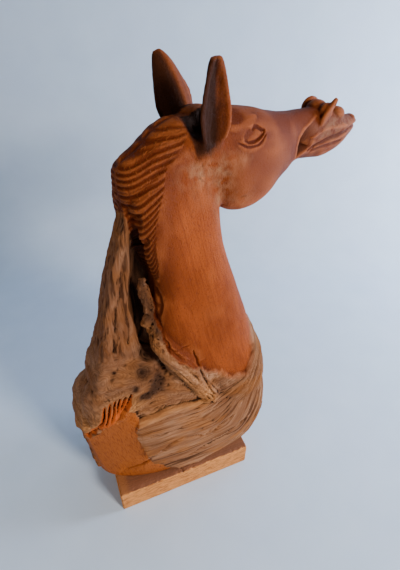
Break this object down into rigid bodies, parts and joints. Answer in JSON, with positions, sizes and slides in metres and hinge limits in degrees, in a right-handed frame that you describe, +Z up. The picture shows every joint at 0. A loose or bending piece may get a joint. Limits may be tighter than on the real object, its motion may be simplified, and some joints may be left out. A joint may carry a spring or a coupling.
{
  "type": "carved wooden horse head sculpture",
  "caption": "Horse head and long neck carved from a weathered root, its foot sawn flat and set on a rectangular plank plinth.",
  "frame": {"origin": "middle of the plank's underside", "axes": "+Z up, +X along the plank's long side the way the horse faces, +Y to the horse's left"},
  "size_m": [0.3156, 0.112, 0.4183],
  "materials": {
    "carved_root_wood": "rasped and oiled orange-brown on the head and neck, bare and weathered brown-grey on the root",
    "sawn_plank_wood": "sawn, unplaned and unvarnished"
  },
  "bodies": {
    "root": {"carved_horse_head": "carved_root_wood", "base_plank": "sawn_plank_wood"}
  },
  "joints": []
}
